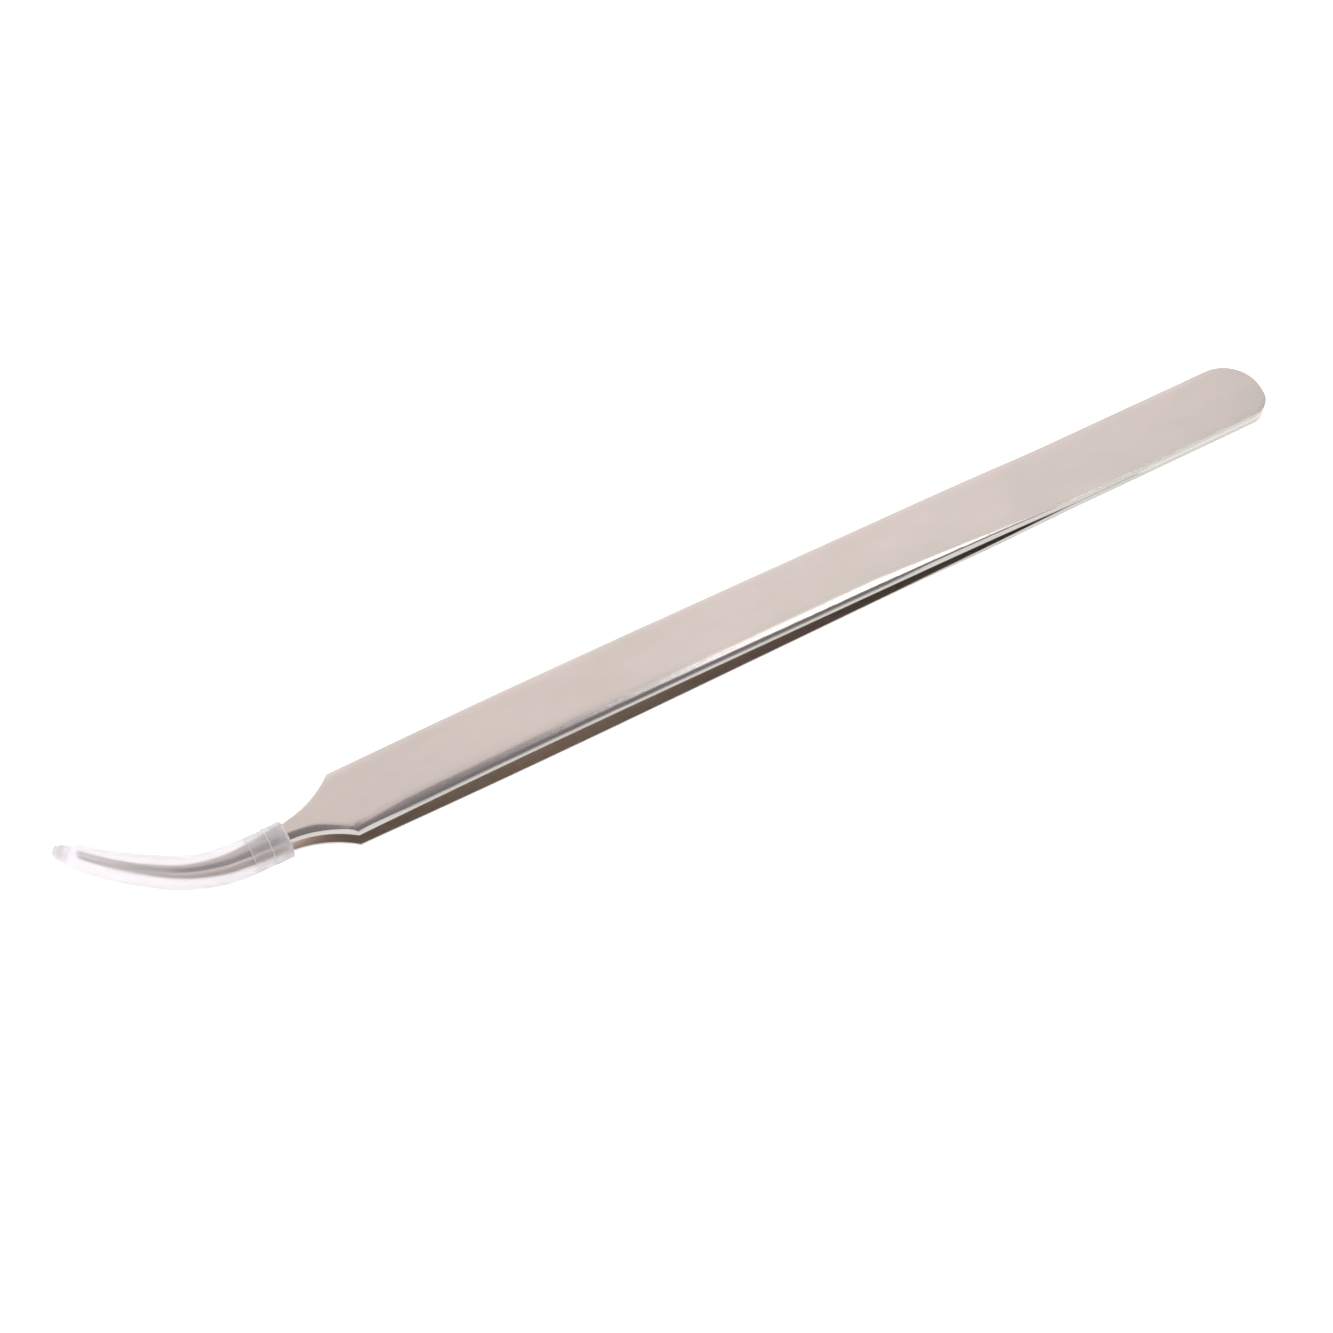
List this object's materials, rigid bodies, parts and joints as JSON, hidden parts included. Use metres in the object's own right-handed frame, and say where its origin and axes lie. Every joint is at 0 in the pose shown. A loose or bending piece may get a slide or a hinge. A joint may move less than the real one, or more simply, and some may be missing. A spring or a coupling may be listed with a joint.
{
  "type": "aquascaping tweezers",
  "caption": "Long curved planting tweezers: two flat satin steel arms welded at a rounded butt, necked to slender curved tips held almost closed by a soft translucent cap.",
  "frame": {"origin": "centre of the bounding box in plan, at the lowest point of the bowed lower arm", "axes": "+X along the tool towards the welded butt, +Z the way the arms open and close, +Y across the strips, to the side that the tips curve to"},
  "size_m": [0.1896, 0.0194, 0.0055],
  "materials": {
    "satin_steel": "satin, fine lengthwise grain, outer edges polished round",
    "weld_metal": "ground flush",
    "soft_cap": "milky translucent soft moulding"
  },
  "bodies": {
    "butt": {"upper_tang": "satin_steel", "lower_tang": "satin_steel", "edge_weld": "weld_metal", "spot_welds": "weld_metal"},
    "upper_arm": {"upper_blade": "satin_steel"},
    "lower_arm": {"lower_blade": "satin_steel"},
    "cap": {"protective_cap": "soft_cap"}
  },
  "joints": [
    {"name": "cap_pull", "type": "hinge", "parent": "butt", "child": "cap", "pos_m": [-0.06721, 0.02628, 0.00275], "axis": [0, 0, -1], "range_deg": [0, 120]},
    {"name": "upper_arm_flex", "type": "hinge", "parent": "butt", "child": "upper_arm", "pos_m": [0.03979, -0.00451, 0.00401], "axis": [0, 1, 0], "range_deg": [0, 1.5]},
    {"name": "lower_arm_flex", "type": "hinge", "parent": "butt", "child": "lower_arm", "pos_m": [0.03979, -0.00451, 0.00149], "axis": [0, -1, 0], "range_deg": [0, 1.5]}
  ],
  "couplings": [
    {"joint": "upper_arm_flex", "follows": "cap_pull", "ratio": 0.0125},
    {"joint": "lower_arm_flex", "follows": "cap_pull", "ratio": 0.0125}
  ]
}
